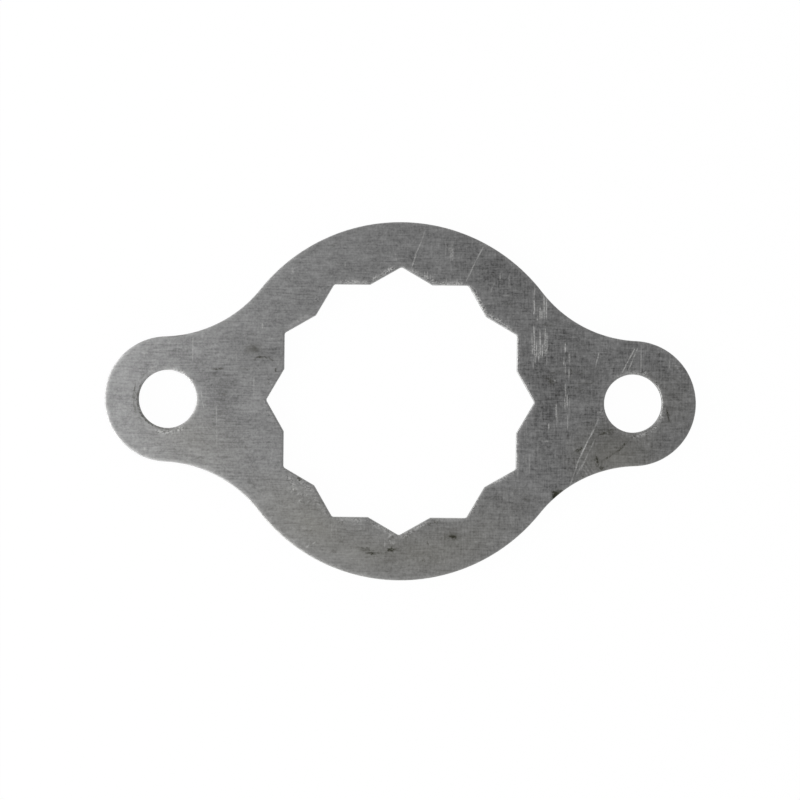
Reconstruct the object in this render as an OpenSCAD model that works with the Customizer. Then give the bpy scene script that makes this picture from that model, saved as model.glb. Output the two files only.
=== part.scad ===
// Lock plate: one flat blanked steel plate that keeps a hexagon nut or bolt
// head from turning. The nut sits in the star-shaped opening, in any of twelve
// positions, and two bolts through the ears hold the plate down.
// The plate lies flat, with the middle of the star at the origin, the ears
// along X and its underside at z = 0.

/* [Plate] */
// Thickness of the sheet
thickness = 2.5; // [1.5:0.1:5]
// Diameter of the round middle
disc_d = 40; // [36:0.5:46]
// Radius of the hollow between the middle and each ear
waist_r = 14; // [10:0.5:20]

/* [Ears] */
// Distance between the two bolt holes
bolt_pitch = 52; // [50:0.5:60]
// Radius of the ear around each bolt hole
ear_r = 7; // [6:0.25:9]
// Diameter of each bolt hole
bolt_hole_d = 6.5; // [4.5:0.1:8.5]

/* [Star opening] */
// Width across the flats of both hexagons that make the star
across_flats = 26; // [18:0.5:29]
// How far the tips fall short of the sharp corners of the hexagons
tip_blunt = 0.1; // [0.05:0.05:0.4]

/* [Edges] */
// Radius that the press rolled on the upper edges
edge_roll = 0.15; // [0.1:0.05:0.7]
// Flat break on the lower edges, where the burr was taken off
edge_break = 0.15; // [0.05:0.05:0.3]

/* [Hidden] */
$fn = 96;

disc_r = disc_d / 2;
ear_x = bolt_pitch / 2;
hole_r = bolt_hole_d / 2;
apothem = across_flats / 2;
tip_r = apothem / cos(30) - tip_blunt;

// Each hollow touches the round middle and one ear, so its centre lies the
// sum of the radii away from theirs. The three centres make a triangle, and
// the round sides run into each other on the seams along its two long sides.
hollow_to_disc = waist_r + disc_r;
hollow_to_ear = waist_r + ear_r;
seam_at_disc = acos(
    (hollow_to_disc ^ 2 + ear_x ^ 2 - hollow_to_ear ^ 2)
    / (2 * hollow_to_disc * ear_x)
);
seam_at_hollow = acos(
    (hollow_to_disc ^ 2 + hollow_to_ear ^ 2 - ear_x ^ 2)
    / (2 * hollow_to_disc * hollow_to_ear)
);

// The rolled round would end this much above the face, so that it meets the
// face at a slight angle.
roll_rise = edge_roll / 50;
roll_depth = edge_roll - roll_rise;

// How far the shapes that cut stand out of the sheet, above and below
clear = 1;
cut_height = thickness + 2 * clear;

// Section of the sheet at an edge. The wall stands at x = 0 and the metal
// lies on its left, rolled round at the top and broken at the bottom.
module edge_section(depth) {
    polygon([
        [-depth, 0],
        [-edge_break, 0],
        [0, edge_break],
        [0, thickness - roll_depth],
        [-edge_roll, thickness - roll_depth],
        [-edge_roll, thickness],
        [-depth, thickness]
    ]);
    translate([-edge_roll, thickness - roll_depth])
        intersection() {
            circle(edge_roll);
            square([2 * edge_roll, roll_depth]);
        }
}

// Section of half an opening, from its middle at x = 0 to its wall. It opens
// out where the edges are rolled and broken.
module opening_section(half_width) {
    difference() {
        polygon([
            [0, -clear],
            [half_width + edge_break + clear, -clear],
            [half_width, edge_break],
            [half_width, thickness - roll_depth],
            [half_width + edge_roll, thickness - roll_depth],
            [half_width + edge_roll, thickness + clear],
            [0, thickness + clear]
        ]);
        translate([half_width + edge_roll, thickness - roll_depth])
            mirror([1, 0])
                intersection() {
                    circle(edge_roll);
                    square(2 * edge_roll);
                }
    }
}

module round_plate(r) {
    rotate_extrude()
        translate([r, 0])
            edge_section(r);
}

module round_opening(r) {
    rotate_extrude()
        opening_section(r);
}

// Everything on the positive Y side, as far as the plate reaches
module half_space() {
    translate([-2 * bolt_pitch, 0, -clear])
        cube([4 * bolt_pitch, 2 * bolt_pitch, cut_height]);
}

// Everything on the negative Y side
module other_half_space() {
    mirror([0, 1, 0])
        half_space();
}

// Turns X along the seam from the disc's centre to the hollow's centre
module on_disc_seam() {
    rotate(seam_at_disc)
        children();
}

// Moves on to the hollow's centre
module at_hollow() {
    on_disc_seam()
        translate([hollow_to_disc, 0, 0])
            children();
}

// Turns X there along the seam from the hollow's centre to the ear's centre
module on_ear_seam() {
    at_hollow()
        rotate(180 + seam_at_hollow)
            children();
}

module disc_quarter() {
    intersection() {
        on_disc_seam()
            round_plate(disc_r);
        on_disc_seam()
            half_space();
        rotate(-90)
            half_space();
    }
}

// The metal beside the hollow, out of which the hollow is cut
module web_quarter() {
    intersection() {
        at_hollow()
            rotate_extrude()
                translate([waist_r, 0])
                    mirror([1, 0])
                        edge_section(disc_d);
        on_disc_seam()
            other_half_space();
        on_ear_seam()
            other_half_space();
        half_space();
    }
}

module ear_quarter() {
    intersection() {
        on_ear_seam()
            translate([hollow_to_ear, 0, 0])
                round_plate(ear_r);
        on_ear_seam()
            half_space();
        half_space();
    }
}

// The plate before its openings are made
module blank() {
    for (end = [0, 1], side = [0, 1])
        mirror([end, 0, 0])
            mirror([0, side, 0]) {
                disc_quarter();
                web_quarter();
                ear_quarter();
            }
}

// Space between two opposite flats of a hexagon
module between_flats() {
    rotate([90, 0, 0])
        linear_extrude(disc_d, center = true)
            for (side = [0, 1])
                mirror([side, 0])
                    opening_section(apothem);
}

module hexagon_opening() {
    intersection_for(turn = [0, 60, 120])
        rotate(turn)
            between_flats();
}

// Two hexagons, one turned by half a side, make the twelve tips, which end on
// a circle.
module star_opening() {
    intersection() {
        union() {
            hexagon_opening();
            rotate(30)
                hexagon_opening();
        }
        round_opening(tip_r);
    }
}

module lock_plate() {
    color("#767674")
        difference() {
            blank();
            star_opening();
            for (side = [-1, 1])
                translate([side * ear_x, 0, 0])
                    round_opening(hole_r);
        }
}

lock_plate();
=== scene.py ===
# Lock plate of cold-rolled steel: one flat blanked piece with a twelve-point
# opening, two ears and two bolt holes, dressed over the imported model.
import math

import bmesh
import bpy
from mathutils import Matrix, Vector, kdtree


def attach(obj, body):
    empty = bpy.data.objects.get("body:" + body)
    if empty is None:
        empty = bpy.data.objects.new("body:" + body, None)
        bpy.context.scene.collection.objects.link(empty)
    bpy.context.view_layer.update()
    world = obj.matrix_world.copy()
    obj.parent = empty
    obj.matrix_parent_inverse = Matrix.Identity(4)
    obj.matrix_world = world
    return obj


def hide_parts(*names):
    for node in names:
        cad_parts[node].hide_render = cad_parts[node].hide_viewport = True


mm = 0.001

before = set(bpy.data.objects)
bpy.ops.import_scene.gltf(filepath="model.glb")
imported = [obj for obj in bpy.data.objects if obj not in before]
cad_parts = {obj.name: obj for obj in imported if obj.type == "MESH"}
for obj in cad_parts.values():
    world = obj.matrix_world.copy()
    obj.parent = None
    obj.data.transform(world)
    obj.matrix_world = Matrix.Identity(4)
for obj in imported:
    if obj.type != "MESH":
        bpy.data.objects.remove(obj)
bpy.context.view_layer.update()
print("frame loaded,", len(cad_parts), "node")


def hexColour(text):
    # sRGB hex to the linear values that Blender's sockets take
    parts = [int(text[i:i + 2], 16) / 255 for i in (1, 3, 5)]
    linear = [c / 12.92 if c <= 0.04045 else ((c + 0.055) / 1.055) ** 2.4 for c in parts]
    return (*linear, 1)


def addNode(tree, kind, inputs=None, **settings):
    # Adds a node with its settings, and gives each input a value or a link
    node = tree.nodes.new("ShaderNode" + kind)
    for name, value in settings.items():
        setattr(node, name, value)
    for socket, value in (inputs or {}).items():
        if isinstance(value, bpy.types.NodeSocket):
            tree.links.new(value, node.inputs[socket])
        else:
            node.inputs[socket].default_value = value
    return node


def selectWhere(piece, kind, test):
    # In edit mode, selects only the vertices or faces that pass the test
    bpy.ops.mesh.select_mode(type=kind)
    bpy.ops.mesh.select_all(action="DESELECT")
    mesh = bmesh.from_edit_mesh(piece.data)
    for part in mesh.verts if kind == "VERT" else mesh.faces:
        part.select_set(test(part))
    bmesh.update_edit_mesh(piece.data)


# The plate. Sizes are those of the solid, and a hair comes off all round the
# outline, so that the dressed plate stays inside it.
plate = {
    "thickness": 2.5 * mm,
    "discRadius": 20 * mm,
    "discSteps": 26,                 # of its share of a quarter of the outline
    "hollowRadius": 14 * mm,
    "hollowSteps": 24,
    "earRadius": 7 * mm,
    "earSteps": 30,
    "boltPitch": 52 * mm,
    "boltHoleRadius": 3.25 * mm,
    "boltHoleSteps": 96,
    "tips": 12,
    "acrossFlats": 26 * mm,
    "tipRounding": 0.20 * mm,        # along each side of a tip
    "tipSteps": 6,
    "hair": 0.01 * mm,
    "mergeWithin": 0.001 * mm,       # points on the two middle lines
    "roll": 0.04 * mm,               # round of the upper edge itself
    "rollSteps": 4,
    "crown": 0.50 * mm,              # width over which the press drew the face down
    "crownSlope": math.radians(4),   # how far it leans at the edge
    "crownSteps": 6,
    "burnishFrom": 1.0 * mm,         # above this height the wall was shaved smooth
    "tearTaper": 0.05 * mm,          # the torn wall below it leans in this much
    "edgeBreak": 0.15 * mm,          # flat break where the burr was taken off
    "holdingRing": 0.05 * mm,        # keeps the flat faces flat up to the rims
    "sharpFrom": math.radians(26),   # edges that turn further stay sharp
    "levelFrom": 0.9,                # as the Z of the normal of a face
    "wallBelow": 0.2,
}
# The nick in the upper edge, below the right end of the round middle
nick = {
    "place": (17.50 * mm, -10.32 * mm),
    "size": (0.62 * mm, 0.34 * mm, 0.13 * mm),  # half its length and width, and its depth
    "turn": math.radians(36),
    "unevenness": 0.03 * mm,
    "seed": 4,
    "roundness": 3,                  # subdivisions of the pebble that presses it
    "unworn": 0.744 * mm,            # so far from its middle it gets neither rubbing nor the painted rim highlight
}


def drawOutline(piece, height):
    # Spins one point about the disc's, a hollow's and an ear's centre in turn,
    # which draws a quarter of the outline, and mirrors it twice
    discRadius = plate["discRadius"] - plate["hair"]
    earX = plate["boltPitch"] / 2
    toDisc = plate["discRadius"] + plate["hollowRadius"]
    toEar = plate["earRadius"] + plate["hollowRadius"]
    atDisc = math.acos((toDisc ** 2 + earX ** 2 - toEar ** 2) / (2 * toDisc * earX))
    atHollow = math.acos((toDisc ** 2 + toEar ** 2 - earX ** 2) / (2 * toDisc * toEar))
    atEar = math.pi - atDisc - atHollow
    hollow = (toDisc * math.cos(atDisc), toDisc * math.sin(atDisc), height)
    bpy.ops.mesh.select_all(action="SELECT")
    bpy.ops.mesh.merge(type="CENTER")
    bpy.ops.transform.translate(value=(0, discRadius, height))
    # Spin turns clockwise about an axis that points up
    bpy.ops.mesh.spin(steps=plate["discSteps"], angle=math.pi / 2 - atDisc,
                      center=(0, 0, height), axis=(0, 0, 1))
    bpy.ops.mesh.spin(steps=plate["hollowSteps"], angle=atHollow,
                      center=hollow, axis=(0, 0, -1))
    bpy.ops.mesh.spin(steps=plate["earSteps"], angle=math.pi - atEar,
                      center=(earX, 0, height), axis=(0, 0, 1))
    bpy.ops.object.mode_set(mode="OBJECT")
    mirror = piece.modifiers.new("Mirror", "MIRROR")
    mirror.use_axis = (True, True, False)
    mirror.merge_threshold = plate["mergeWithin"]
    bpy.ops.object.modifier_apply(modifier=mirror.name)
    bpy.ops.object.mode_set(mode="EDIT")


def drawOpenings(piece, height):
    # Two bolt holes, and a ring of points for the star, of which every second
    # one is pulled in to an inner corner and the others are rounded as tips
    for side in (-1, 1):
        place = (side * plate["boltPitch"] / 2, 0, height)
        bpy.ops.mesh.primitive_circle_add(
            vertices=plate["boltHoleSteps"], radius=plate["boltHoleRadius"], location=place)
    # In degrees. Both hexagons have their tips 30 from the middles of their flats.
    tipStep = 360 / plate["tips"]
    slack = 1
    tipRadius = plate["acrossFlats"] / 2 / math.cos(math.radians(30))
    cornerRadius = plate["acrossFlats"] / 2 / math.cos(math.radians(tipStep / 2))
    bpy.ops.mesh.primitive_circle_add(
        vertices=2 * plate["tips"], radius=tipRadius, location=(0, 0, height))

    def turnFromTip(vert):
        turn = math.degrees(math.atan2(vert.co.y, vert.co.x))
        return abs((turn + tipStep / 2) % tipStep - tipStep / 2)

    def inStar(vert):
        return vert.co.xy.length < (tipRadius + plate["discRadius"]) / 2

    selectWhere(piece, "VERT", lambda v: inStar(v) and turnFromTip(v) > tipStep / 2 - slack)
    pull = cornerRadius / tipRadius
    bpy.ops.transform.resize(value=(pull, pull, 1), center_override=(0, 0, 0))
    selectWhere(piece, "VERT", lambda v: inStar(v) and turnFromTip(v) < slack)
    bpy.ops.mesh.bevel(offset=plate["tipRounding"], segments=plate["tipSteps"], affect="VERTICES")


def pressEdges(piece):
    # The wall, the round of its upper edge, the crown that runs out into the
    # face, then the torn wall and the break below it
    height = plate["burnishFrom"]
    leans = [plate["crownSlope"] * (1 - (i + 0.5) / plate["crownSteps"]) ** 2
             for i in range(plate["crownSteps"])]
    crownStep = plate["crown"] / plate["crownSteps"]
    crownRise = sum(crownStep * math.tan(lean) for lean in leans)
    turns = [(math.pi / 2 - plate["crownSlope"]) * i / plate["rollSteps"]
             for i in range(plate["rollSteps"] + 1)]
    rollRise = plate["roll"] * math.sin(turns[-1])
    bpy.ops.mesh.select_all(action="SELECT")
    bpy.ops.mesh.fill(use_beauty=True)
    bpy.ops.mesh.extrude_region_move(TRANSFORM_OT_translate={
        "value": (0, 0, plate["thickness"] - rollRise - crownRise - height)})
    bpy.ops.mesh.select_all(action="SELECT")
    bpy.ops.mesh.normals_make_consistent(inside=False)
    selectWhere(piece, "FACE", lambda f: f.normal.z > plate["levelFrom"])
    for before, after in zip(turns, turns[1:]):
        bpy.ops.mesh.inset(
            thickness=plate["roll"] * (math.cos(before) - math.cos(after)),
            depth=plate["roll"] * (math.sin(after) - math.sin(before)))
    for lean in leans:
        bpy.ops.mesh.inset(thickness=crownStep, depth=crownStep * math.tan(lean))
    bpy.ops.mesh.inset(thickness=plate["holdingRing"], depth=0)
    selectWhere(piece, "FACE", lambda f: f.normal.z < -plate["levelFrom"])
    bpy.ops.mesh.inset(thickness=plate["tearTaper"], depth=height - plate["edgeBreak"])
    bpy.ops.mesh.inset(thickness=plate["edgeBreak"], depth=plate["edgeBreak"])
    bpy.ops.mesh.inset(thickness=plate["holdingRing"], depth=0)


def knockNick(piece):
    # Presses an uneven flat pebble into the upper edge
    x, y = nick["place"]
    bpy.ops.object.select_all(action="DESELECT")
    bpy.ops.mesh.primitive_ico_sphere_add(
        subdivisions=nick["roundness"], radius=1, location=(x, y, plate["thickness"]))
    pebble = bpy.context.object
    pebble.scale = nick["size"]
    pebble.rotation_euler.z = nick["turn"]
    bpy.ops.object.transform_apply(location=True, rotation=True, scale=True)
    bpy.ops.object.mode_set(mode="EDIT")
    bpy.ops.transform.vertex_random(offset=nick["unevenness"], seed=nick["seed"])
    bpy.ops.object.mode_set(mode="OBJECT")
    bpy.ops.object.select_all(action="DESELECT")
    piece.select_set(True)
    bpy.context.view_layer.objects.active = piece
    cut = piece.modifiers.new("Nick", "BOOLEAN")
    cut.operation = "DIFFERENCE"
    cut.solver = "EXACT"
    cut.object = pebble
    bpy.ops.object.modifier_apply(modifier=cut.name)
    bpy.data.objects.remove(pebble)


def markWearAndRimSheen(piece):
    # Gives the rims the value 1, which falls to 0 over the crown. It lightens the
    # rims, partly as rubbed wear and partly as a painted highlight. The nick gets
    # neither, so it keeps 0.
    mesh = piece.data
    middle = Vector((*nick["place"], plate["thickness"]))
    onRim = {i for f in mesh.polygons if abs(f.normal.z) < plate["levelFrom"] for i in f.vertices}
    rims = kdtree.KDTree(len(onRim))
    for i in onRim:
        rims.insert(mesh.vertices[i].co, i)
    rims.balance()
    wornAndRimSheen = mesh.attributes.new("wornAndRimSheen", "FLOAT", "POINT")
    for vert in mesh.vertices:
        inNick = (vert.co - middle).length < nick["unworn"]
        distance = rims.find(vert.co)[2]
        wornAndRimSheen.data[vert.index].value = 0 if inNick else max(0, 1 - distance / plate["crown"])


bpy.ops.object.select_all(action="DESELECT")
bpy.ops.mesh.primitive_plane_add(size=1 * mm, location=(0, 0, 0))
steelPlate = bpy.context.object
steelPlate.name = "steelPlate"
bpy.ops.object.mode_set(mode="EDIT")
drawOutline(steelPlate, plate["burnishFrom"])
drawOpenings(steelPlate, plate["burnishFrom"])
pressEdges(steelPlate)
bpy.ops.object.mode_set(mode="OBJECT")
knockNick(steelPlate)
markWearAndRimSheen(steelPlate)
bpy.ops.object.shade_smooth_by_angle(angle=plate["sharpFrom"])
print("plate modelled,", len(steelPlate.data.polygons), "faces")


# The steel's own look. Lengths are in millimetres.
steel = {
    "clean": "#b0b0b0",
    # the darker end of the grain, which painted shade also pulls the sheet towards and past
    "dullAndShaded": "#8d8d8d",
    "fresh": "#e4e4e2",              # metal laid bare by a scratch
    # dark dirt, and the painted shade along the left hole and in the nick
    "grimeAndShade": "#3c3c34",
    "oil": "#9f9b89",                # thin dried oil
    "roughness": 0.32,
    "dullRoughness": 0.50,           # where dirt lies on it
    # The rolls leave a grain a few hundredths of a millimetre wide, too fine to
    # show, so it is drawn about two pixels wide
    "grain": (                       # length along X, Y, then share of the tone
        (2.20, 0.18, 0.44),          # drawn out by the rolls
        (0.22, 0.22, 0.50),          # bite of the rolls
        (0.80, 0.55, 0.30),
        (3.00, 2.00, 0.24),          # uneven pickling
    ),
    "grainContrast": 4.2,
    "across": (0.18, 1.40, 0.42),    # lines across, from rubbing
    "rubbedFrom": -14,               # the lines across come in between these places in X
    "rubbedTo": 16,
    "unrubbed": 0.15,                # share of them where nothing rubbed
    "quietEnd": 0.86,                # contrast at the left end, and at the right
    "busyEnd": 1.16,
    "paintedShadeDepth": 0.9,              # what painted shade of strength 1 takes off the tone
    "wearAndRimSheen": 0.16,                    # how far the rims are rubbed bare and lit by a painted highlight
    "deepestPit": -0.2,              # as far below the sheet's tone as a bruise goes
    "grainDepth": 0.0003,
    "scratchDepth": 0.0010,
    "dentDepth": 0.0080,
    "raggedSize": 0.35,              # of the bays in the outlines of dirt and dents
    "ragged": 0.40,                  # how far the outlines stray
    # Fine noise, and how it breaks dirt up, drops dark specks and leaves bright ones
    "speckSize": 0.26,
    "broken": {"From Min": 0.38, "From Max": 0.60, "To Min": 0.45, "To Max": 1.2},
    "pepper": {"From Min": 0.75, "From Max": 0.87, "To Min": 0.0, "To Max": 0.8},
    "glints": {"From Min": 0.30, "From Max": 0.20, "To Min": 0.0, "To Max": 0.4},
    # Finer noise, and how it makes scratches skip and pits the bruises
    "chatterSize": 0.17,
    "chatter": {"From Min": 0.36, "From Max": 0.62, "To Min": 0.35, "To Max": 1.25},
    "pits": {"From Min": 0.40, "From Max": 0.60, "To Min": -0.45, "To Max": 1.15},
}

# Marks on the upper face, in millimetres: where each begins and ends, and how
# strong it is. Scratches laid the metal bare.
scratches = {
    "width": 0.095,
    "fullness": 3.0,
    "strength": 0.92,
    "marks": (
        # on the upper side of the round middle
        (2.6, 19.1, 2.2, 17.9, 0.35), (2.2, 17.9, 1.6, 16.5, 0.55), (1.7, 16.6, 1.1, 14.9, 0.55),
        (9.2, 17.5, 8.3, 15.8, 0.6), (8.4, 16.0, 7.1, 13.2, 0.6), (4.9, 18.0, 4.9, 16.3, 0.25),
        (5.7, 18.0, 5.7, 15.4, 0.45), (5.5, 17.8, 5.5, 15.6, 0.25), (5.25, 17.8, 5.3, 16.5, 0.25),
        (11.0, 14.4, 11.0, 13.7, 0.6), (12.0, 14.3, 12.0, 12.8, 0.4), (11.2, 11.9, 12.3, 11.9, 0.35),
        (10.4, 13.4, 9.9, 12.1, 0.25), (-0.8, 16.7, -0.5, 15.5, 0.35), (1.6, 16.8, 1.2, 15.0, 0.3),
        (-12.2, 14.9, -12.2, 14.3, 0.5), (-6.3, 15.5, -6.3, 14.8, 0.4),
        # bundle beside the star
        (14.9, 12.9, 14.8, 11.6, 0.6), (14.8, 11.6, 14.9, 10.0, 1.1), (14.8, 10.2, 14.8, 9.9, 1.2),
        (15.5, 10.8, 15.5, 9.2, 0.8), (15.9, 12.2, 16.0, 9.2, 0.85), (16.2, 11.9, 16.2, 9.2, 0.85),
        (15.7, 10.4, 15.7, 9.3, 0.7), (15.2, 9.6, 15.2, 9.2, 0.7), (14.8, 8.7, 14.9, 7.0, 1.1),
        (14.9, 7.4, 14.9, 5.1, 1.2), (14.6, 7.8, 14.7, 5.2, 0.7), (15.1, 6.9, 15.2, 4.9, 0.9),
        (15.5, 8.3, 15.6, 5.0, 1.2), (15.8, 6.5, 15.8, 5.1, 1.3), (16.1, 8.6, 16.1, 5.1, 1.2),
        (16.3, 7.9, 16.3, 5.2, 0.9), (15.4, 5.8, 15.4, 4.6, 0.8), (14.8, 5.0, 14.8, 3.7, 0.5),
        (16.3, 5.2, 16.3, 4.2, 0.5), (15.0, 5.6, 15.0, 4.4, 0.7),
        # broken line down the web
        (18.35, 6.7, 18.35, 5.6, 1.0), (18.8, 5.7, 18.8, 4.4, 0.7), (18.2, 5.1, 18.2, 4.2, 0.8),
        (18.4, 4.5, 18.4, 3.0, 0.5), (18.8, 3.8, 18.8, 2.8, 0.7), (18.4, 2.3, 18.45, 0.6, 0.6),
        (18.35, 0.6, 18.4, -0.8, 0.7), (18.6, 1.0, 18.65, -0.5, 0.8), (18.9, 0.6, 18.9, -0.5, 0.5),
        (18.7, -1.3, 18.7, -3.1, 0.6), (17.4, 0.0, 17.4, -1.7, 0.8), (17.5, -1.0, 17.5, -2.4, 0.4),
        (16.6, -2.3, 16.6, -3.0, 0.8), (16.2, -4.3, 16.7, -4.3, 0.5), (14.5, -5.8, 14.5, -8.1, 0.35),
        (14.1, -5.6, 14.1, -6.9, 0.3), (12.7, -6.9, 12.7, -8.2, 0.25), (13.2, -6.4, 13.2, -8.7, 0.3),
        # above and below the right bolt hole
        (22.2, 5.9, 21.7, 3.95, 0.7), (17.2, 2.5, 17.25, 2.45, 0.6), (23.0, 6.5, 23.0, 6.1, 0.4),
        (26.2, 6.3, 25.35, 4.7, 0.9), (25.4, 4.8, 24.65, 3.3, 0.85), (26.5, 6.3, 25.85, 4.9, 0.75),
        (25.95, 5.0, 25.4, 3.7, 0.7), (26.8, 6.7, 26.85, 3.4, 0.55), (29.95, 4.9, 30.0, 3.9, 0.5),
        (30.6, 4.5, 31.1, 3.7, 0.25), (30.7, 4.3, 30.7, 4.2, 0.5), (31.2, 3.1, 31.2, 3.0, 0.5),
        (31.4, 3.8, 31.4, 3.6, 0.4), (28.9, 1.7, 29.0, 1.3, 0.5), (28.7, 2.0, 28.8, 1.8, 0.4),
        (29.1, 1.3, 29.1, 1.2, 0.4), (22.2, -1.6, 21.7, -2.8, 0.45), (21.75, -2.8, 21.1, -4.0, 0.7),
        (21.2, -3.7, 20.4, -5.5, 0.9), (20.7, -4.8, 20.0, -6.3, 0.9), (20.0, -6.2, 19.5, -7.9, 0.7),
        (21.6, -2.9, 21.2, -3.7, 0.5), (21.8, -3.9, 21.1, -5.5, 0.45), (21.1, -5.4, 20.2, -7.5, 0.55),
        (20.4, -6.8, 19.7, -8.1, 0.45), (19.5, -7.8, 19.0, -9.3, 0.4), (22.0, -1.0, 22.4, -1.0, 0.5),
        (20.2, -6.8, 21.2, -8.4, 0.3), (20.5, -6.6, 21.5, -8.2, 0.25), (20.8, -6.3, 21.7, -7.8, 0.2),
        # left half
        (-23.2, 7.1, -23.2, 4.1, 0.34), (-20.5, -0.6, -20.45, -3.0, 0.28),
        (-20.45, -3.0, -20.4, -5.5, 0.20), (-22.2, 0.9, -22.15, -0.1, 0.38),
        (-22.1, -0.1, -21.9, -1.0, 0.35), (-23.1, -3.3, -23.05, -5.7, 0.12), (-24.9, 6.4, -24.9, 4.6, 0.14),
        (-27.7, 3.5, -27.1, 3.7, 0.35), (-28.1, 3.1, -27.9, 3.0, 0.35), (-11.9, -9.6, -11.4, -10.0, 0.30),
        (-11.5, -10.6, -10.9, -10.2, 0.30), (-12.1, -10.3, -11.7, -9.8, 0.25),
        (-10.6, -10.2, -10.1, -10.7, 0.30), (-11.2, -11.3, -10.8, -10.9, 0.30),
        (-10.4, -11.5, -10.0, -11.2, 0.25), (-16.35, 3.0, -16.35, 0.2, 0.26),
        (-15.45, 8.6, -15.45, 7.9, 0.4), (-29.0, 5.1, -28.1, 5.1, 0.3), (-18.3, 5.5, -18.3, 4.0, 0.2),
        (-14.2, -5.7, -14.5, -7.3, 0.2), (-12.1, 14.7, -12.1, 14.2, 0.3),
        (-10.35, -16.35, -10.05, -16.2, 0.55), (-10.3, -16.45, -10.15, -16.35, 0.4),
        (-9.6, -16.0, -9.3, -15.8, 0.5), (-7.8, -13.6, -7.8, -15.0, 0.14), (-7.5, -13.7, -7.5, -15.4, 0.16),
        (-7.0, -13.8, -6.95, -15.2, 0.14), (-1.2, -15.2, -0.8, -14.9, 0.7),
        (-0.9, -14.95, -0.55, -14.8, 0.4), (-1.0, -15.55, -0.85, -15.9, 0.6),
        (-0.75, -15.7, -0.55, -16.0, 0.5), (-0.5, -15.4, -0.45, -15.9, 0.35),
        (-1.55, -15.7, -1.6, -16.3, 0.3),
        # hatching above the star
        (2.6, 14.5, 2.6, 13.8, 0.45), (2.9, 14.5, 2.9, 13.6, 0.5), (3.2, 14.2, 3.2, 13.5, 0.45),
        (3.5, 14.0, 3.5, 13.3, 0.4), (5.0, 13.9, 5.0, 13.2, 0.25), (6.2, 13.8, 6.2, 13.2, 0.25),
    ),
}
# Broad faint rubs, and painted highlights along the sides of the star
rubsAndRimHighlights = {
    "width": 0.30,
    "fullness": 1.0,
    "strength": 1.0,
    "marks": (
        (5.5, 18.0, 5.5, 15.4, 0.30), (10.4, 13.6, 9.8, 12.0, 0.15), (15.5, 8.0, 15.6, 5.0, 0.12),
        (15.9, 11.5, 16.0, 9.5, 0.15), (19.2, 2.5, 21.4, 2.45, 0.35), (30.4, -1.9, 30.4, -1.9, 0.30),
        (29.4, -0.9, 29.1, -1.9, 0.28), (28.9, -2.2, 28.1, -3.0, 0.34), (27.9, -3.2, 26.6, -3.6, 0.28),
        # painted highlights along the sides of the star, where the rims lean to the light
        (3.7, 13.25, 7.3, 13.25, 0.40), (-7.3, 13.25, -3.7, 13.25, 0.40), (-3.5, 13.4, -0.3, 15.25, 0.32),
        (-3.3, 13.8, -0.4, 15.5, 0.20), (-12.9, 7.9, -9.8, 9.75, 0.32), (-12.6, 8.25, -9.9, 10.05, 0.20),
        (0.3, 15.3, 3.6, 13.3, 0.20), (9.7, 9.8, 13.1, 7.8, 0.24), (7.8, 12.9, 9.7, 9.7, 0.30),
        (-7.3, -13.2, -3.6, -13.2, 0.36), (3.6, -13.2, 7.3, -13.2, 0.38), (0.2, -15.1, 3.5, -13.2, 0.30),
        (9.6, -9.65, 13.0, -7.65, 0.32), (-3.5, -13.2, -0.2, -15.1, 0.15),
        # round the right hole
        (24.3, 3.1, 25.5, 3.55, 0.28), (25.5, 3.55, 27.0, 3.4, 0.34), (27.0, 3.4, 28.2, 2.7, 0.26),
        (24.6, -3.3, 26.0, -3.6, 0.28), (26.0, -3.6, 27.2, -3.4, 0.25), (22.6, 1.3, 22.5, -0.2, 0.20),
        (25.2, -3.85, 26.8, -3.9, 0.18), (22.5, -0.2, 22.9, -1.8, 0.20), (31.6, 0.9, 31.8, 1.1, 0.30),
        (30.6, 4.4, 31.2, 3.6, 0.20), (-28.5, -5.6, -28.4, -5.6, 0.35), (-27.9, 3.5, -27.7, 3.3, 0.30),
        (-19.9, -8.2, -19.7, -8.3, 0.25), (19.2, 7.3, 19.3, 7.3, 0.25), (20.6, -4.8, 20.0, -6.6, 0.20),
        (18.5, 0.8, 18.6, -0.4, 0.22), (-10.7, -14.2, -10.6, -14.2, 0.25),
    ),
}
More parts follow.
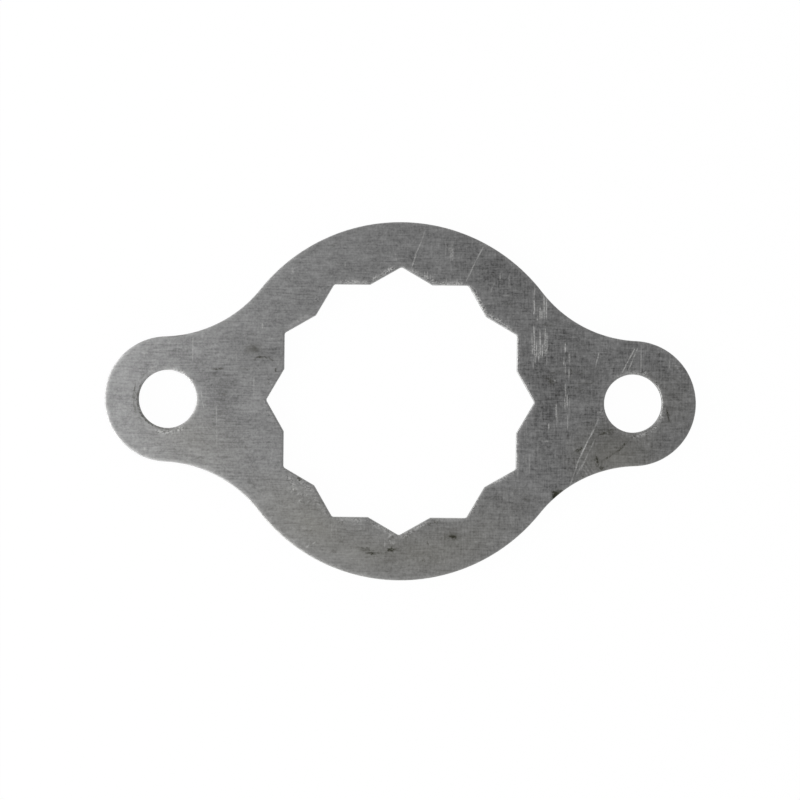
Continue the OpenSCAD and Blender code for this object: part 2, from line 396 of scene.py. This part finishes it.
# Rims that were knocked and peened
bruises = {
    "width": 0.30,
    "fullness": 1.4,
    "strength": 0.85,
    "marks": (
        # left bolt hole
        (-25.4, 3.4, -24.9, 3.3, 0.4), (-24.5, 3.15, -23.9, 2.7, 0.55), (-23.7, 2.5, -23.1, 1.8, 0.5),
        (-27.1, -3.6, -26.5, -3.75, 0.5), (-26.3, -3.75, -25.3, -3.7, 0.6),
        (-24.7, -3.5, -24.2, -3.25, 0.7),
        # right bolt hole
        (25.3, 3.4, 26.2, 3.5, 0.5), (26.2, 3.5, 27.1, 3.4, 0.5), (27.2, 3.5, 27.4, 3.4, 0.8),
        (23.9, 2.8, 24.5, 3.2, 0.5), (28.5, 2.4, 29.0, 1.6, 0.7), (29.3, -0.8, 29.2, -1.6, 0.6),
        (29.2, -1.4, 28.8, -2.3, 0.55), (28.7, -2.4, 28.0, -3.1, 0.6), (27.8, -3.2, 26.9, -3.5, 0.55),
        (26.8, -3.6, 25.9, -3.7, 0.6), (22.5, -0.7, 22.5, -1.1, 0.3),
        # star
        (-6.9, 13.3, -5.9, 13.3, 0.5), (-5.9, 13.3, -4.8, 13.3, 0.6), (-4.6, 13.3, -3.6, 13.3, 0.4),
        (-3.4, 13.5, -2.8, 13.9, 0.8), (-2.0, 14.2, -1.4, 14.6, 0.7), (-1.3, 14.7, -0.9, 14.8, 0.8),
        (1.1, 14.7, 1.9, 14.3, 0.5), (2.3, 14.0, 3.0, 13.7, 0.7), (3.0, 13.6, 3.8, 13.3, 0.7),
        (4.0, 13.2, 5.2, 13.2, 0.6), (5.6, 13.2, 7.0, 13.2, 0.6), (7.9, 12.8, 8.5, 11.8, 0.65),
        (8.5, 11.9, 9.0, 10.9, 0.7), (9.0, 10.8, 9.5, 9.9, 0.7), (9.7, 9.8, 10.6, 9.3, 0.75),
        (10.7, 9.3, 11.3, 9.0, 0.9), (11.3, 8.9, 12.3, 8.1, 0.6), (14.1, 2.3, 14.5, 1.6, 0.5),
        (-3.2, -13.5, -2.0, -14.2, 0.45), (-1.9, -14.2, -0.6, -15.0, 0.45), (0.3, -15.2, 1.6, -14.4, 0.5),
        (1.6, -14.4, 3.2, -13.5, 0.5), (-7.1, -13.4, -5.6, -13.5, 0.3), (-5.4, -13.4, -3.6, -13.4, 0.3),
        (13.1, 7.2, 13.1, 5.4, 0.5), (13.1, 5.4, 13.1, 3.7, 0.4), (13.1, -3.8, 13.1, -5.5, 0.5),
        (13.1, -5.5, 13.1, -7.3, 0.5), (7.7, -12.9, 9.3, -10.0, 0.4), (9.7, -9.5, 12.8, -7.8, 0.4),
        (-9.4, 12.4, -8.5, 12.4, 0.30), (-9.6, 11.3, -9.1, 11.2, 0.30), (-15.1, -0.1, -15.0, -0.3, 0.5),
        (-14.8, -1.2, -14.3, -1.9, 0.4), (-14.6, 2.2, -14.3, 1.5, 0.3), (-12.1, -9.7, -11.8, -10.0, 0.35),
        (-10.75, -9.6, -10.5, -9.9, 0.3), (-11.1, -10.4, -10.7, -10.7, 0.3),
        (-10.5, -10.5, -10.1, -10.7, 0.25), (-11.1, -11.2, -11.0, -11.5, 0.25),
        # ends of the strokes in the right web
        (14.9, 6.5, 14.95, 5.2, 0.35), (15.4, 6.4, 15.5, 5.1, 0.40), (16.0, 6.6, 16.05, 5.2, 0.35),
        (-12.7, -8.4, -11.8, -9.0, 0.42), (-12.3, -9.1, -11.6, -9.5, 0.52),
        (-11.4, -9.0, -10.5, -9.3, 0.42), (-10.5, -9.5, -9.7, -10.1, 0.50),
        (-9.7, -10.6, -8.8, -11.7, 0.30), (-8.7, -12.0, -7.7, -13.0, 0.30),
    ),
}
# Dark streaks of dirt that was pressed or dried on, and painted shade along the left hole's round
streaks = {
    "width": 0.18,
    "fullness": 2.0,
    "strength": 1.15,
    "marks": (
        (-21.1, 3.42, -19.7, 3.42, 0.6), (-18.1, 3.42, -16.0, 3.45, 0.35), (-16.3, 4.75, -14.7, 4.75, 0.6),
        (-14.65, 4.7, -14.35, 4.4, 0.65), (-16.5, 4.4, -16.2, 4.6, 0.3), (-20.2, 0.6, -19.4, 0.55, 0.4),
        (-22.7, -6.5, -21.8, -6.55, 0.4), (-13.95, 3.45, -13.9, 3.2, 0.65), (-14.75, 2.3, -14.7, 1.8, 0.4),
        (-5.0, -16.35, -3.0, -16.4, 0.42), (-4.7, -16.6, -2.5, -16.6, 0.28),
        (-3.9, -16.9, -2.5, -17.05, 0.30), (-3.7, -17.05, -1.3, -16.85, 0.26),
        (-3.2, -17.2, -2.2, -17.3, 0.22), (-1.5, -16.85, -0.95, -16.65, 0.28),
        (-1.2, -16.45, -0.8, -16.6, 0.22), (-0.9, -16.6, -0.25, -16.4, 0.24),
        (-0.8, -16.75, -0.55, -16.85, 0.28), (-0.85, -16.4, -0.7, -16.2, 0.25),
        (3.2, -15.65, 3.2, -16.0, 0.5), (-0.83, -15.08, -0.55, -15.17, 0.5),
        (-1.4, -15.75, -1.1, -16.0, 0.3), (-1.2, -15.45, -0.9, -15.3, 0.3), (3.3, -14.5, 5.3, -14.5, 0.15),
        (22.2, -3.55, 22.9, -3.3, 0.5), (22.8, -3.35, 23.6, -3.0, 0.5), (23.7, -2.85, 23.7, -3.1, 0.55),
        (24.8, -3.5, 25.7, -3.6, 0.3), (5.1, -14.8, 5.15, -15.3, 0.4), (22.8, -6.3, 23.7, -5.7, 0.45),
        (23.7, -5.7, 24.65, -5.05, 0.40), (24.5, -5.2, 25.6, -4.05, 0.42), (22.0, -6.0, 22.1, -6.8, 0.55),
        (21.3, -6.5, 22.1, -6.1, 0.45), (21.9, -6.75, 22.15, -7.1, 0.45), (22.5, -7.05, 22.6, -7.4, 0.6),
        (18.0, -9.8, 18.4, -9.8, 0.5), (20.3, -8.1, 20.5, -8.25, 0.5), (29.8, -0.3, 29.8, -0.95, 0.55),
        (29.75, -0.9, 29.95, -1.55, 0.4), (29.9, -1.5, 30.2, -2.0, 0.3), (27.8, 2.8, 28.3, 2.4, 0.5),
        (18.95, 3.75, 19.1, 3.35, 0.55), (18.9, 3.45, 21.0, 3.3, 0.35), (19.4, 2.2, 22.2, 2.3, 0.3),
        (20.3, 4.0, 22.8, 3.9, 0.15), (19.2, 1.7, 20.5, 1.5, 0.45), (15.3, 8.7, 17.05, 8.6, 0.4),
        (16.6, 2.35, 17.2, 2.1, 0.6), (16.2, 2.75, 17.1, 2.4, 0.5), (16.6, 3.3, 17.3, 3.3, 0.4),
        (17.1, 0.9, 18.1, 0.9, 0.25), (17.4, 3.5, 18.5, 3.4, 0.2), (21.2, 5.4, 22.3, 5.4, 0.25),
        (17.9, 1.5, 19.2, 1.5, 0.25), (5.5, 19.3, 7.4, 18.7, 0.4), (8.0, 18.4, 9.2, 17.9, 0.3),
        (11.9, 11.0, 12.4, 10.9, 0.3), (13.7, -10.8, 14.6, -11.0, 0.35), (12.7, -11.5, 14.7, -11.5, 0.15),
        (28.5, 5.6, 29.2, 5.6, 0.25), (29.9, 2.9, 30.8, 2.9, 0.25), (-2.35, 14.0, -2.15, 14.0, 0.8),
        (-11.3, -8.7, -10.95, -8.9, 1.4), (14.2, -13.5, 14.5, -13.6, 0.5), (17.6, 6.1, 18.9, 6.1, 0.2),
        (17.0, -9.8, 17.3, -10.0, 0.4),
        # painted shade: a dark line along the left hole's round, where its rim lies in shade, and darker
        # rings beside it
        (-28.91, 1.68, -29.25, 0.87, 0.65), (-29.25, 0.87, -29.33, -0.41, 0.8),
        (-29.33, -0.41, -29.07, -1.37, 0.8), (-29.07, -1.37, -28.38, -2.38, 0.9),
        (-28.38, -2.38, -27.37, -3.07, 0.9), (-27.37, -3.07, -26.12, -3.36, 0.7),
        (-26.12, -3.36, -25.1, -3.25, 0.45), (-29.5, 1.7, -29.65, 1.1, 0.4),
        (-29.65, 1.2, -29.72, -0.4, 0.5), (-29.7, -0.4, -29.5, -1.7, 0.45),
        (-29.48, 0.9, -29.5, -0.4, 0.30), (-29.2, -2.0, -28.6, -2.8, 0.25), (-28.5, 2.8, -29.1, 2.0, 0.25),
    ),
}
# Dark specks and blots of the same dirt
blots = {
    "width": 0.32,
    "fullness": 1.8,
    "strength": 1.5,
    "marks": (
        (0.8, -15.1, 0.8, -15.1, 0.4), (3.3, -13.65, 3.35, -13.65, 0.45), (4.1, -13.3, 4.15, -13.5, 0.45),
        (4.95, -16.6, 4.95, -16.6, 0.35), (2.75, -17.75, 2.75, -17.75, 0.35),
        (-2.3, -18.8, -2.2, -18.8, 0.15), (-7.2, -16.9, -7.2, -16.9, 0.3), (9.4, -13.9, 9.4, -13.9, 0.2),
        (2.1, 19.15, 2.45, 19.2, 0.35), (-7.7, 17.3, -7.6, 17.3, 0.3), (22.5, -7.2, 22.55, -7.4, 0.4),
        (22.7, -6.5, 22.7, -6.4, 0.25), (19.7, -5.35, 20.45, -5.05, 0.55),
        (-11.8, -9.95, -11.7, -10.05, 0.35), (-17.1, -5.3, -17.1, -5.3, 0.25),
        (-1.1, -16.55, -0.5, -16.5, 0.25), (19.3, -8.7, 19.4, -8.6, 0.35), (20.1, -8.3, 20.6, -8.2, 0.3),
        (-13.3, 4.5, -13.3, 3.5, 0.15), (-13.3, 7.0, -13.3, 5.6, 0.15), (23.0, -4.3, 23.6, -4.1, 0.20),
        (22.3, -4.6, 22.8, -4.9, 0.20), (23.4, -5.2, 23.9, -5.6, 0.20), (22.6, -5.9, 23.2, -6.0, 0.20),
        (25.7, -6.3, 25.8, -6.55, 0.25), (25.6, -5.2, 26.0, -5.6, 0.15), (21.4, -7.1, 21.9, -7.3, 0.20),
        (5.8, -15.05, 6.3, -15.2, 0.30), (-16.35, 5.65, -16.0, 5.55, 0.08), (29.8, -0.8, 29.9, -1.6, 0.15),
        (24.3, -5.3, 25.5, -4.15, 0.20), (22.4, -3.4, 23.4, -3.1, 0.15), (21.9, -6.0, 22.1, -6.6, 0.20),
        (-26.5, -3.5, -26.4, -3.5, 0.20), (-25.8, -3.5, -25.7, -3.5, 0.20),
        (-24.9, -3.35, -24.8, -3.3, 0.25),
    ),
}
# Broad soft stains, and painted shade that darkens the nick
stains = {
    "width": 0.75,
    "fullness": 1.0,
    "strength": 1.0,
    "marks": (
        # the first one is painted shade that fills the nick
        (17.3, -10.5, 17.8, -10.1, 1.6), (5.6, -15.0, 6.4, -15.1, 0.85), (-17.1, 5.7, -15.7, 5.9, 0.50),
        (-17.1, 5.5, -15.4, 5.3, 0.35), (-4.3, -16.8, -1.8, -16.95, 0.40), (-1.5, -16.6, -0.4, -16.5, 0.38),
        (22.0, -5.7, 22.1, -6.6, 0.20), (22.8, -3.4, 23.2, -3.3, 0.15), (16.9, 2.8, 16.9, 2.8, 0.15),
        (-5.1, -16.3, -3.7, -16.35, 0.22), (15.4, 10.6, 15.8, 9.5, 0.14),
    ),
}
# Wide patches of painted shade that darken the sheet, and painted highlights near the outer rim where the
# strength is below 0
paintedShadeAndHighlight = {
    "width": 3.0,
    "fullness": 1.0,
    "strength": 1.0,
    "marks": (
        (17.5, 2.4, 20.5, 2.4, 0.45), (6.5, 17.0, 14.0, 11.5, 0.50), (14.5, 9.0, 17.0, -5.0, 0.54),
        (18.0, 8.5, 20.0, 5.0, 0.35), (-17.0, 5.4, -15.8, 5.0, 0.45), (-21.0, 4.0, -19.0, -4.0, 0.52),
        (5.0, -15.0, 7.0, -15.0, 0.10), (20.0, 0.0, 24.0, -4.0, 0.25), (29.0, 4.0, 31.0, -2.0, 0.15),
        (1.0, 17.5, 5.0, 17.5, 0.10), (19.0, -7.0, 21.0, -4.0, 0.30), (-13.8, -13.8, -4.4, -19.0, -0.13),
        (4.4, -19.0, 13.8, -13.8, -0.13), (-13.8, 13.8, -4.4, 19.0, -0.16), (-31.6, 3.2, -28.5, 6.0, -0.18),
    ),
}
# Patches that a thin film of dried oil tints
films = {
    "width": 5.0,
    "fullness": 1.0,
    "strength": 1.0,
    "marks": (
        (22.5, -6.0, 25.5, -6.0, 0.28), (-2.0, -17.0, 6.0, -17.0, 0.24), (-14.0, -11.0, -5.0, -17.0, 0.26),
        (7.0, -16.0, 12.0, -13.0, 0.14), (-26.0, -3.0, -20.0, -6.0, 0.13), (27.0, 0.0, 30.0, 0.0, 0.12),
    ),
}


def inMillimetres(tree):
    # The place on the piece, as its own coordinates in millimetres
    coords = addNode(tree, "TexCoord")
    return addNode(tree, "VectorMath", {0: coords.outputs["Object"], "Scale": 1 / mm},
                   operation="SCALE").outputs[0]


def drawMarks(tree, place, group):
    # Adds up a group of marks. Each one is a soft spindle between its two ends,
    # and fullness flattens its middle, so that it is even along its length.
    # Clamped sockets in so long a chain turn the render black, so the top is
    # cut off by a minimum.
    field = 0.0
    width = group["width"]
    for x1, y1, x2, y2, strength in group["marks"]:
        along = addNode(tree, "Mapping", {
            "Vector": place,
            "Location": ((x1 + x2) / 2, (y1 + y2) / 2, plate["thickness"] / mm),
            "Rotation": (0, 0, math.atan2(y2 - y1, x2 - x1)),
            "Scale": (math.hypot(x2 - x1, y2 - y1) / 2 + width, width, 1)},
            vector_type="TEXTURE")
        spindle = addNode(tree, "TexGradient", {0: along.outputs[0]}, gradient_type="SPHERICAL")
        fuller = addNode(tree, "Math", {0: spindle.outputs["Fac"], 1: group["fullness"]},
                         operation="MULTIPLY")
        body = addNode(tree, "Math", {0: fuller.outputs[0], 1: 1.0}, operation="MINIMUM")
        field = addNode(tree, "Math", {
            0: body.outputs[0], 1: strength * group["strength"], 2: field},
            operation="MULTIPLY_ADD").outputs[0]
    return field


def drawGrain(tree, place, lengthX, lengthY):
    # One layer of grain as a tone round 0
    drawn = addNode(tree, "Mapping", {
        "Vector": place, "Scale": (1 / lengthX, 1 / lengthY, 1 / min(lengthX, lengthY))})
    noise = addNode(tree, "TexNoise", {"Vector": drawn.outputs[0], "Scale": 1.0,
                                       "Detail": 2.0, "Roughness": 0.6})
    return addNode(tree, "Math", {0: noise.outputs["Fac"], 1: 0.5}, operation="SUBTRACT").outputs[0]


def drawSheet(tree, place):
    # The sheet's tone round 0.5: the layers of rolled grain, and the lines
    # across that grow stronger towards the rubbed end
    tone = 0.0
    for lengthX, lengthY, share in steel["grain"]:
        tone = addNode(tree, "Math", {
            0: drawGrain(tree, place, lengthX, lengthY), 1: share * steel["grainContrast"],
            2: tone}, operation="MULTIPLY_ADD").outputs[0]
    parts = addNode(tree, "SeparateXYZ", {0: place})
    lengthX, lengthY, share = steel["across"]
    rubbed = addNode(tree, "MapRange", {
        "Value": parts.outputs["X"], "From Min": steel["rubbedFrom"],
        "From Max": steel["rubbedTo"], "To Min": steel["unrubbed"] * share * steel["grainContrast"],
        "To Max": share * steel["grainContrast"]}, interpolation_type="SMOOTHSTEP")
    woven = addNode(tree, "Math", {
        0: drawGrain(tree, place, lengthX, lengthY), 1: rubbed.outputs["Result"], 2: tone},
        operation="MULTIPLY_ADD")
    reach = (plate["boltPitch"] / 2 + plate["earRadius"]) / mm
    contrast = addNode(tree, "MapRange", {
        "Value": parts.outputs["X"], "From Min": -reach, "From Max": reach,
        "To Min": steel["quietEnd"], "To Max": steel["busyEnd"]})
    return addNode(tree, "Math", {0: woven.outputs[0], 1: contrast.outputs["Result"], 2: 0.5},
                   operation="MULTIPLY_ADD").outputs[0]


def coldRolledSteel():
    # Cold-rolled steel sheet. The mill's polished rolls leave a satin grey with
    # a fine grain along the sheet, on which scratches show light and dirt dark,
    # with painted shade and painted highlights laid over it.
    material = bpy.data.materials.new("coldRolledSteel")
    material.use_nodes = True
    tree = material.node_tree
    shader = tree.nodes["Principled BSDF"]
    place = inMillimetres(tree)
    grain = drawSheet(tree, place)
    # Painted shade and painted highlights shift the sheet's tone here
    tone = addNode(tree, "Math", {0: drawMarks(tree, place, paintedShadeAndHighlight), 1: -steel["paintedShadeDepth"],
                                  2: grain},
                   operation="MULTIPLY_ADD").outputs[0]
    metal = addNode(tree, "Mix", {
        "Factor": tone, "A": hexColour(steel["dullAndShaded"]), "B": hexColour(steel["clean"])},
        data_type="RGBA", clamp_factor=False)
    oiled = addNode(tree, "Mix", {
        "Factor": drawMarks(tree, place, films), "A": metal.outputs["Result"],
        "B": hexColour(steel["oil"])}, data_type="RGBA")
    # Dirt and dents have ragged outlines
    crumple = addNode(tree, "TexNoise", {"Vector": place, "Scale": 1 / steel["raggedSize"],
                                         "Detail": 2.0})
    shift = addNode(tree, "VectorMath", {0: crumple.outputs["Color"], 1: (0.5, 0.5, 0.5)},
                    operation="SUBTRACT")
    ragged = addNode(tree, "VectorMath", {0: shift.outputs[0], 1: (steel["ragged"],) * 3, 2: place},
                     operation="MULTIPLY_ADD").outputs[0]
    # Fine noise breaks the dirt up and peppers the face with dark and bright specks
    crumbs = addNode(tree, "TexNoise", {"Vector": place, "Scale": 1 / steel["speckSize"],
                                        "Detail": 2.0, "Roughness": 0.7})
    broken = addNode(tree, "MapRange", {"Value": crumbs.outputs["Fac"], **steel["broken"]})
    pepper = addNode(tree, "MapRange", {"Value": crumbs.outputs["Fac"], **steel["pepper"]})
    glints = addNode(tree, "MapRange", {"Value": crumbs.outputs["Fac"], **steel["glints"]})
    specks = addNode(tree, "Math", {0: drawMarks(tree, ragged, streaks),
                                    1: drawMarks(tree, ragged, blots)})
    crumbled = addNode(tree, "Math", {0: specks.outputs[0], 1: broken.outputs["Result"],
                                      2: pepper.outputs["Result"]}, operation="MULTIPLY_ADD")
    # Dirt, together with the painted shade in the nick and along the left hole, darkens the colour towards
    # grime
    dirtAndShade = addNode(tree, "Math", {0: crumbled.outputs[0], 1: drawMarks(tree, ragged, stains)},
                   use_clamp=True)
    # Scratches skip, and bruises are peppered with bright knocks and dark pits
    jumps = addNode(tree, "TexNoise", {"Vector": place, "Scale": 1 / steel["chatterSize"],
                                       "Detail": 1.0})
    chatter = addNode(tree, "MapRange", {"Value": jumps.outputs["Fac"], **steel["chatter"]})
    pitted = addNode(tree, "MapRange", {"Value": jumps.outputs["Fac"], **steel["pits"]})
    # The rim band: partly rubbed wear, partly a painted highlight on the rims
    wornAndRimSheen = addNode(tree, "Attribute", attribute_name="wornAndRimSheen")
    # Rubs with the painted rim highlights, and bright specks, lighten the colour towards bare metal
    scuffedAndLit = addNode(tree, "Math", {0: drawMarks(tree, place, rubsAndRimHighlights), 1: chatter.outputs["Result"],
                                     2: glints.outputs["Result"]}, operation="MULTIPLY_ADD")
    # rubbed holds rubs, painted rim highlights and the painted rim band together
    rubbed = addNode(tree, "Math", {0: wornAndRimSheen.outputs["Fac"], 1: steel["wearAndRimSheen"],
                                    2: scuffedAndLit.outputs[0]}, operation="MULTIPLY_ADD")
    peened = drawMarks(tree, ragged, bruises)
    knocked = addNode(tree, "Math", {0: peened, 1: pitted.outputs["Result"],
                                     2: rubbed.outputs[0]}, operation="MULTIPLY_ADD")
    bared = addNode(tree, "Math", {0: drawMarks(tree, place, scratches),
                                   1: chatter.outputs["Result"], 2: knocked.outputs[0]},
                    operation="MULTIPLY_ADD")
    bare = addNode(tree, "Clamp", {"Value": bared.outputs[0], "Min": steel["deepestPit"], "Max": 1.0})
    dirtiedAndShaded = addNode(tree, "Mix", {"Factor": dirtAndShade.outputs[0], "A": oiled.outputs["Result"],
                                  "B": hexColour(steel["grimeAndShade"])}, data_type="RGBA")
    scratched = addNode(tree, "Mix", {"Factor": bare.outputs[0], "A": dirtiedAndShaded.outputs["Result"],
                                      "B": hexColour(steel["fresh"])},
                        data_type="RGBA", clamp_factor=False)
    tree.links.new(scratched.outputs["Result"], shader.inputs["Base Color"])
    dulled = addNode(tree, "MapRange", {"Value": dirtAndShade.outputs[0], "To Min": steel["roughness"],
                                        "To Max": steel["dullRoughness"]})
    tree.links.new(dulled.outputs["Result"], shader.inputs["Roughness"])
    shader.inputs["Metallic"].default_value = 1
    # Heights in millimetres: the dents of the bruises and the grain, less the
    # furrows of the scratches
    dents = addNode(tree, "Math", {0: jumps.outputs["Fac"], 1: peened}, operation="MULTIPLY")
    dented = addNode(tree, "Math", {0: dents.outputs[0], 1: steel["dentDepth"]},
                     operation="MULTIPLY")
    ridges = addNode(tree, "Math", {0: grain, 1: steel["grainDepth"], 2: dented.outputs[0]},
                     operation="MULTIPLY_ADD")
    height = addNode(tree, "Math", {0: bare.outputs[0], 1: -steel["scratchDepth"],
                                    2: ridges.outputs[0]}, operation="MULTIPLY_ADD")
    relief = addNode(tree, "Bump", {"Height": height.outputs[0], "Distance": mm,
                                    "Strength": 1.0})
    tree.links.new(relief.outputs[0], shader.inputs["Normal"])
    return material


# The cut edge's own look. Lengths are in millimetres.
edge = {
    "burnished": "#8c8c8b",
    "torn": "#6a6966",
    "burnishedRoughness": 0.36,
    "tornRoughness": 0.55,
    "line": (0.12, 0.12, 1.6),       # scoring along the way of the punch
    "crag": 0.16,
    "border": 0.25,                  # how far the border between the bands wanders
    "borderWaves": 0.6,              # of it in a millimetre
    "borderFade": 0.06,              # on each side of it, where the bands merge
    "contrast": {"From Min": 0.3, "From Max": 0.7, "To Min": 0.6, "To Max": 1.3},
    "lineDepth": 0.003,
    "cragDepth": 0.020,
}


def blankedEdge():
    # Edge of blanked sheet. The punch shaved the upper part of the wall bright
    # and scored it along its way, and below it the metal tore off dull.
    material = bpy.data.materials.new("blankedEdge")
    material.use_nodes = True
    tree = material.node_tree
    shader = tree.nodes["Principled BSDF"]
    place = inMillimetres(tree)
    drawn = addNode(tree, "Mapping", {
        "Vector": place, "Scale": [1 / length for length in edge["line"]]})
    lines = addNode(tree, "TexNoise", {"Vector": drawn.outputs[0], "Scale": 1.0, "Detail": 2.0})
    crags = addNode(tree, "TexNoise", {"Vector": place, "Scale": 1 / edge["crag"], "Detail": 3.0,
                                       "Roughness": 0.6})
    wander = addNode(tree, "TexNoise", {"Vector": place, "Scale": edge["borderWaves"],
                                        "Detail": 2.0})
    parts = addNode(tree, "SeparateXYZ", {0: place})
    # The noise strays by about a quarter round a half
    border = addNode(tree, "Math", {0: wander.outputs["Fac"], 1: 4 * edge["border"],
                                    2: plate["burnishFrom"] / mm - 2 * edge["border"]},
                     operation="MULTIPLY_ADD")
    above = addNode(tree, "Math", {0: parts.outputs["Z"], 1: border.outputs[0]},
                    operation="SUBTRACT")
    burnish = addNode(tree, "MapRange", {
        "Value": above.outputs[0], "From Min": -edge["borderFade"], "From Max": edge["borderFade"]},
        interpolation_type="SMOOTHSTEP")
    relief = addNode(tree, "Mix", {2: crags.outputs["Fac"], 3: lines.outputs["Fac"],
                                   "Factor": burnish.outputs["Result"]})
    colour = addNode(tree, "Mix", {"Factor": burnish.outputs["Result"],
                                   "A": hexColour(edge["torn"]),
                                   "B": hexColour(edge["burnished"])}, data_type="RGBA")
    shade = addNode(tree, "MapRange", {"Value": relief.outputs[0], **edge["contrast"]})
    shaded = addNode(tree, "VectorMath", {0: colour.outputs["Result"],
                                          "Scale": shade.outputs["Result"]}, operation="SCALE")
    tree.links.new(shaded.outputs[0], shader.inputs["Base Color"])
    gloss = addNode(tree, "MapRange", {"Value": burnish.outputs["Result"],
                                       "To Min": edge["tornRoughness"],
                                       "To Max": edge["burnishedRoughness"]})
    tree.links.new(gloss.outputs["Result"], shader.inputs["Roughness"])
    shader.inputs["Metallic"].default_value = 1
    depth = addNode(tree, "MapRange", {"Value": burnish.outputs["Result"],
                                       "To Min": edge["cragDepth"], "To Max": edge["lineDepth"]})
    height = addNode(tree, "Math", {0: relief.outputs[0], 1: depth.outputs["Result"]},
                     operation="MULTIPLY")
    bump = addNode(tree, "Bump", {"Height": height.outputs[0], "Distance": mm, "Strength": 1.0})
    tree.links.new(bump.outputs[0], shader.inputs["Normal"])
    return material


def dressPlate(piece):
    # Rolled faces and their rounds in one material, walls in the other
    piece.data.materials.clear()
    piece.data.materials.append(coldRolledSteel())
    piece.data.materials.append(blankedEdge())
    for face in piece.data.polygons:
        face.material_index = int(abs(face.normal.z) < plate["wallBelow"])


dressPlate(steelPlate)
print("steel made")

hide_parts("lock_plate")
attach(steelPlate, "root")

# The studio. Lengths are in metres.
studio = {
    "floorWidth": 3.0,
    "floorGap": 0.02 * mm,           # keeps the floor clear of the underside
    "floorColour": "#f4f4f4",
    "floorGlow": 0.985,              # share of plain white that the camera sees
    "mirroredGlow": 0.15,            # share that the steel's gloss sees
    "lampPlace": (-0.18, -0.045, 0.22),
    "lampWidth": 0.24,
    "lampPower": 0.60,
    "wallLight": 1.0,
    "ceilingLight": 0.225,
    "wallTo": 0.2,                   # as the sine of the angle out of the level
    "ceilingFrom": 0.8,
    "panelLight": 0.32,              # soft panels along both long sides
    "panelShift": 0.03,              # the near one comes further in
    "panelFrom": 0.03,               # as the sine of the angle out of the vertical
    "panelTo": 0.45,
}


def makeFloor():
    # White card. The camera sees it as plain white, with hardly a shadow.
    bpy.ops.mesh.primitive_plane_add(size=studio["floorWidth"], location=(0, 0, -studio["floorGap"]))
    floor = bpy.context.object
    floor.name = "floor"
    material = bpy.data.materials.new("whiteCard")
    material.use_nodes = True
    tree = material.node_tree
    tree.nodes.remove(tree.nodes["Principled BSDF"])
    card = addNode(tree, "BsdfDiffuse", {"Color": hexColour(studio["floorColour"])})
    glow = addNode(tree, "Emission", {"Color": (1, 1, 1, 1), "Strength": 1.0})
    rays = addNode(tree, "LightPath")
    mirrored = addNode(tree, "Math", {0: rays.outputs["Is Glossy Ray"],
                                      1: studio["mirroredGlow"]}, operation="MULTIPLY")
    share = addNode(tree, "Math", {0: rays.outputs["Is Camera Ray"], 1: studio["floorGlow"],
                                   2: mirrored.outputs[0]}, operation="MULTIPLY_ADD")
    mixed = addNode(tree, "MixShader", {0: share.outputs[0], 1: card.outputs[0],
                                        2: glow.outputs[0]})
    tree.links.new(mixed.outputs[0], tree.nodes["Material Output"].inputs["Surface"])
    floor.data.materials.append(material)


def makeLight():
    # Walls of light that dim towards the ceiling, with a soft panel along each
    # long side of the plate, and a soft box high on the left
    world = bpy.data.worlds.new("studio")
    bpy.context.scene.world = world
    world.use_nodes = True
    tree = world.node_tree
    direction = addNode(tree, "TexCoord")
    parts = addNode(tree, "SeparateXYZ", {0: direction.outputs["Generated"]})
    level = addNode(tree, "MapRange", {
        "Value": parts.outputs["Z"], "From Min": studio["wallTo"], "From Max": studio["ceilingFrom"],
        "To Min": studio["wallLight"], "To Max": studio["ceilingLight"]},
        interpolation_type="SMOOTHSTEP")
    shifted = addNode(tree, "Math", {0: parts.outputs["Y"], 1: studio["panelShift"]},
                      operation="SUBTRACT")
    aside = addNode(tree, "Math", {0: shifted.outputs[0]}, operation="ABSOLUTE")
    panel = addNode(tree, "MapRange", {
        "Value": aside.outputs[0], "From Min": studio["panelFrom"],
        "From Max": studio["panelTo"], "To Min": 0.0, "To Max": studio["panelLight"]},
        interpolation_type="SMOOTHSTEP")
    strength = addNode(tree, "Math", {0: level.outputs["Result"], 1: panel.outputs["Result"]})
    tree.nodes["Background"].inputs["Color"].default_value = (1, 1, 1, 1)
    tree.links.new(strength.outputs[0], tree.nodes["Background"].inputs["Strength"])
    bpy.ops.object.light_add(type="AREA", location=studio["lampPlace"])
    lamp = bpy.context.object
    lamp.name = "softBox"
    lamp.data.shape = "SQUARE"
    lamp.data.size = studio["lampWidth"]
    lamp.data.energy = studio["lampPower"]
    lamp.rotation_euler = lamp.location.to_track_quat("Z", "Y").to_euler()
    lamp.visible_camera = False


makeFloor()
makeLight()
print("studio made")

# Straight above the plate. The sliver of wall in the left hole gives the height.
viewpoint = {
    "height": 450 * mm,
    "pixelSize": 0.11156 * mm,       # on the upper face
    "picturePixels": 800,
    "plateMiddle": (399.7, 400.75),  # the pixel on which the plate's middle lies
    "tilt": 0.587,                   # degrees that the plate is turned clockwise
    "sensor": 36,                    # width in millimetres
}


def makeCamera():
    # Stands a little beside the plate's middle, which so lands on its own pixel
    half = (viewpoint["picturePixels"] - 1) / 2
    turn = math.radians(viewpoint["tilt"])
    right = (half - viewpoint["plateMiddle"][0]) * viewpoint["pixelSize"]
    up = (viewpoint["plateMiddle"][1] - half) * viewpoint["pixelSize"]
    place = (right * math.cos(turn) - up * math.sin(turn),
             right * math.sin(turn) + up * math.cos(turn), viewpoint["height"])
    bpy.ops.object.camera_add(location=place, rotation=(0, 0, turn))
    camera = bpy.context.object
    seen = viewpoint["picturePixels"] * viewpoint["pixelSize"]
    distance = viewpoint["height"] - plate["thickness"]
    camera.data.sensor_width = viewpoint["sensor"]
    camera.data.lens = viewpoint["sensor"] * distance / seen
    bpy.context.scene.camera = camera


makeCamera()
bpy.context.scene.view_settings.view_transform = "Standard"
